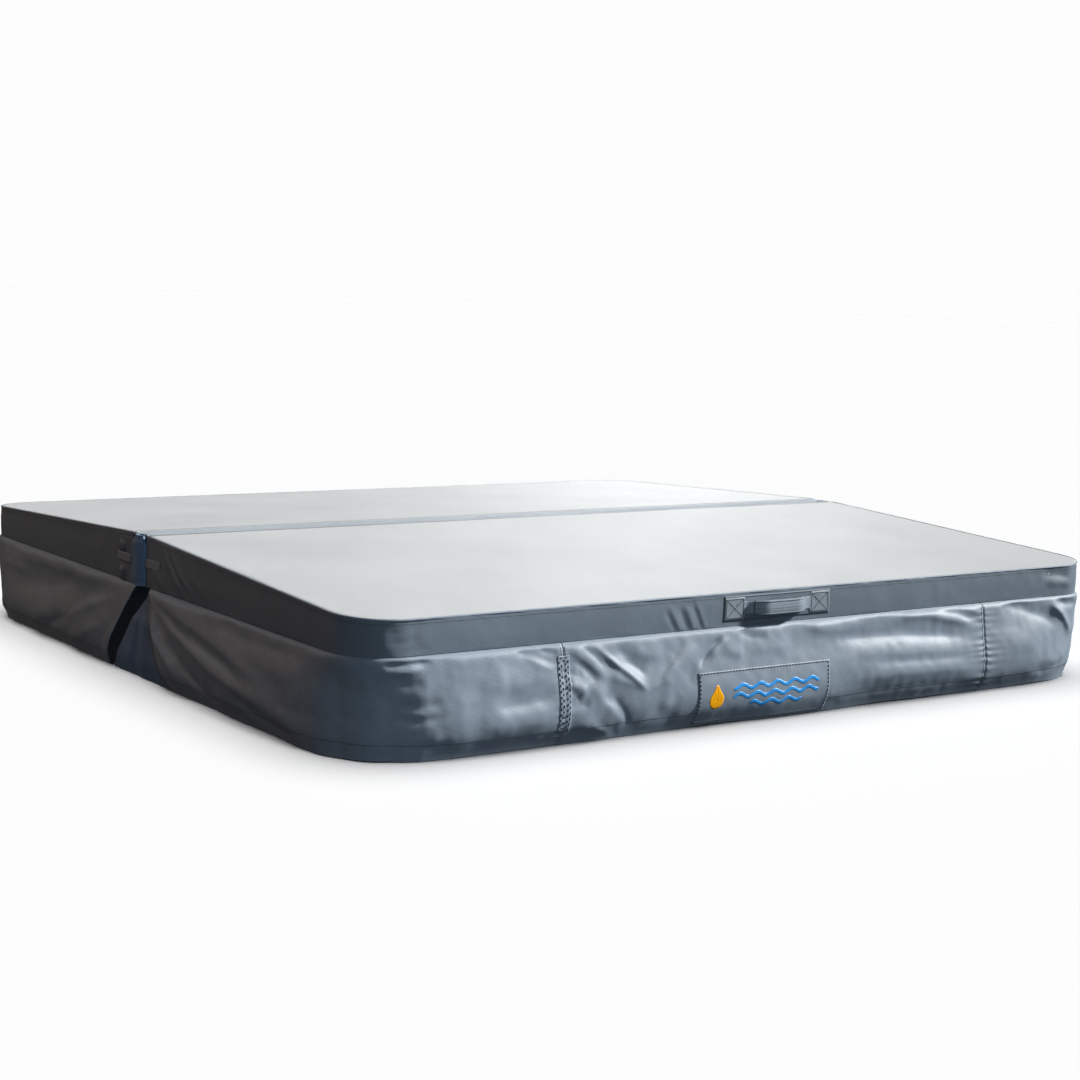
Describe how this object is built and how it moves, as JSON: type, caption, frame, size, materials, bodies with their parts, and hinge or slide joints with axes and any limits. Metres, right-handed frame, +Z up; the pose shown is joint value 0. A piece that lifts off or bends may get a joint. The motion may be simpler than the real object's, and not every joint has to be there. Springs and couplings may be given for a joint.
{
  "type": "spa cover",
  "caption": "Folding spa cover: two tapered foam-filled halves hinged along the middle, with a hanging skirt, lifting handle, zips and tie-down straps.",
  "frame": {"origin": "below the middle of the cover, on the surface that the hem of the skirt stands on", "axes": "+X along the hinge, +Y from the front half with the handle towards the rear half, +Z up"},
  "size_m": [2.1794, 2.0558, 0.3341],
  "materials": {
    "foam": "matte",
    "steel": "satin",
    "film": "satin",
    "top_fabric": "satin",
    "cover_fabric": "satin",
    "lining": "matte",
    "eyelet": "satin",
    "zip_fabric": "matte",
    "zip_plastic": "satin",
    "zip_metal": "satin",
    "webbing": "matte",
    "clip_plastic": "satin",
    "hinge_fabric": "satin",
    "flap_fabric": "matte",
    "seal_foam": "matte",
    "patch": "satin",
    "grip_fabric": "satin"
  },
  "bodies": {
    "rear_half": {"rear_foam_core": "foam", "rear_core_channel": "steel", "rear_vapour_wrap": "film", "rear_top_panel": "top_fabric", "rear_rim_band": "cover_fabric", "rear_fold_wall": "lining", "rear_under_panel": "lining", "rear_drain_eyelets": "eyelet", "rear_edge_piping": "cover_fabric", "rear_zip_tape": "zip_fabric", "rear_zip_chain": "zip_plastic", "rear_skirt_left": "cover_fabric", "rear_skirt_centre": "cover_fabric", "rear_skirt_right": "cover_fabric", "hinge_strip": "hinge_fabric", "hinge_seal": "seal_foam", "hinge_end_roll_left": "hinge_fabric", "hinge_end_roll_right": "hinge_fabric", "hinge_end_flap_left": "flap_fabric", "hinge_end_flap_right": "flap_fabric", "hinge_tab_rear_left": "webbing", "hinge_tab_rear_right": "webbing"},
    "front_half": {"front_foam_core": "foam", "front_core_channel": "steel", "front_vapour_wrap": "film", "front_top_panel": "top_fabric", "front_rim_band": "cover_fabric", "front_fold_wall": "lining", "front_under_panel": "lining", "front_drain_eyelets": "eyelet", "front_edge_piping": "cover_fabric", "front_zip_tape": "zip_fabric", "front_zip_chain": "zip_plastic", "front_skirt_left": "cover_fabric", "front_skirt_centre": "cover_fabric", "front_skirt_right": "cover_fabric", "skirt_gusset_left": "hinge_fabric", "skirt_gusset_right": "hinge_fabric", "hinge_tab_front_left": "webbing", "hinge_tab_front_right": "webbing", "handle_backing": "cover_fabric", "handle_strap": "webbing", "handle_grip": "grip_fabric", "badge_patch": "patch", "strap_patch": "cover_fabric"},
    "front_zip_slider": {"front_zip_slider": "zip_metal"},
    "front_zip_pull": {"front_zip_pull": "zip_metal"},
    "tie_front_left": {"tie_strap_front_left": "webbing", "tie_clip_front_left": "clip_plastic"},
    "tie_front_right": {"tie_strap_front_right": "webbing", "tie_clip_front_right": "clip_plastic"},
    "rear_zip_slider": {"rear_zip_slider": "zip_metal"},
    "rear_zip_pull": {"rear_zip_pull": "zip_metal"},
    "tie_rear_left": {"tie_strap_rear_left": "webbing", "tie_clip_rear_left": "clip_plastic"},
    "tie_rear_right": {"tie_strap_rear_right": "webbing", "tie_clip_rear_right": "clip_plastic"}
  },
  "joints": [
    {"name": "fold", "type": "hinge", "parent": "rear_half", "child": "front_half", "pos_m": [0, 0, 0.33668], "axis": [-1, 0, 0], "range_deg": [0, 185.3], "deforming": ["hinge_strip"]},
    {"name": "front_zip_slide", "type": "slide", "parent": "front_half", "child": "front_zip_slider", "axis": [1, 0, 0], "range_m": [0, 1.876]},
    {"name": "front_zip_pull_swing", "type": "hinge", "parent": "front_zip_slider", "child": "front_zip_pull", "pos_m": [-0.938, -0.028, 0.251], "axis": [1, 0, 0], "range_deg": [0, 18]},
    {"name": "tie_front_left_swing", "type": "hinge", "parent": "front_half", "child": "tie_front_left", "pos_m": [-0.557, -1.001, 0.2119], "axis": [1, 0, 0], "range_deg": [-4, 75]},
    {"name": "tie_front_right_swing", "type": "hinge", "parent": "front_half", "child": "tie_front_right", "pos_m": [0.62, -1.001, 0.2119], "axis": [1, 0, 0], "range_deg": [-4, 75]},
    {"name": "rear_zip_slide", "type": "slide", "parent": "rear_half", "child": "rear_zip_slider", "axis": [1, 0, 0], "range_m": [0, 1.876]},
    {"name": "rear_zip_pull_swing", "type": "hinge", "parent": "rear_zip_slider", "child": "rear_zip_pull", "pos_m": [-0.938, 0.028, 0.251], "axis": [-1, 0, 0], "range_deg": [0, 18]},
    {"name": "tie_rear_left_swing", "type": "hinge", "parent": "rear_half", "child": "tie_rear_left", "pos_m": [-0.557, 1.001, 0.2119], "axis": [-1, 0, 0], "range_deg": [-4, 75]},
    {"name": "tie_rear_right_swing", "type": "hinge", "parent": "rear_half", "child": "tie_rear_right", "pos_m": [0.62, 1.001, 0.2119], "axis": [-1, 0, 0], "range_deg": [-4, 75]}
  ]
}
